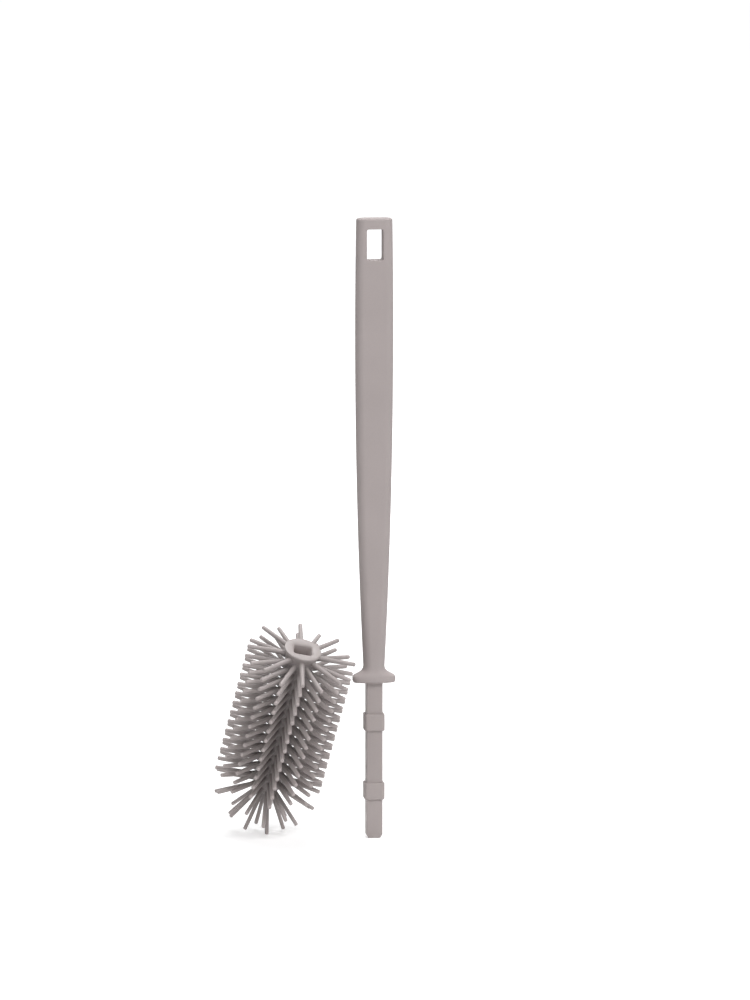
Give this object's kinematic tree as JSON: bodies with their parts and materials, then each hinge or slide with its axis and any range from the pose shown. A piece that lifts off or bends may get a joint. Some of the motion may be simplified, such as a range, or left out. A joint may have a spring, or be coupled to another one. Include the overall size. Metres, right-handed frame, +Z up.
{
  "type": "silicone bottle brush",
  "caption": "Long-handled bottle brush with a hanging slot, shown with its bristled silicone head pulled off the banded stem and leaning beside it.",
  "frame": {"origin": "middle of the upper wall of the hanging slot, where a hook carries the brush", "axes": "+Z up along the handle, from the stem to the grip's slotted end; -Y out of the grip's flat front; the head stands at -X"},
  "size_m": [0.0915, 0.0873, 0.3202],
  "materials": {
    "grip_silicone": "matt, warm grey taupe",
    "stem_plastic": "satin, warm grey taupe",
    "band_silicone": "matt, warm grey taupe",
    "head_silicone": "matt, soft to the touch, warm grey taupe"
  },
  "bodies": {
    "handle": {"handle_grip": "grip_silicone", "stem": "stem_plastic", "upper_stem_band": "band_silicone", "lower_stem_band": "band_silicone"},
    "brush_head": {"head_core": "head_silicone", "bristle_column_01": "head_silicone", "bristle_column_02": "head_silicone", "bristle_column_03": "head_silicone", "bristle_column_04": "head_silicone", "bristle_column_05": "head_silicone", "bristle_column_06": "head_silicone", "bristle_column_07": "head_silicone", "bristle_column_08": "head_silicone", "bristle_column_09": "head_silicone", "bristle_column_10": "head_silicone", "bristle_column_11": "head_silicone", "bristle_column_12": "head_silicone", "bristle_column_13": "head_silicone", "bristle_column_14": "head_silicone", "bristle_column_15": "head_silicone", "bristle_column_16": "head_silicone", "bristle_dome": "head_silicone"}
  },
  "joints": [
    {"name": "head_lift", "type": "slide", "parent": "handle", "child": "brush_head", "axis": [0, 0, 1], "range_m": [0, 0.15]}
  ]
}
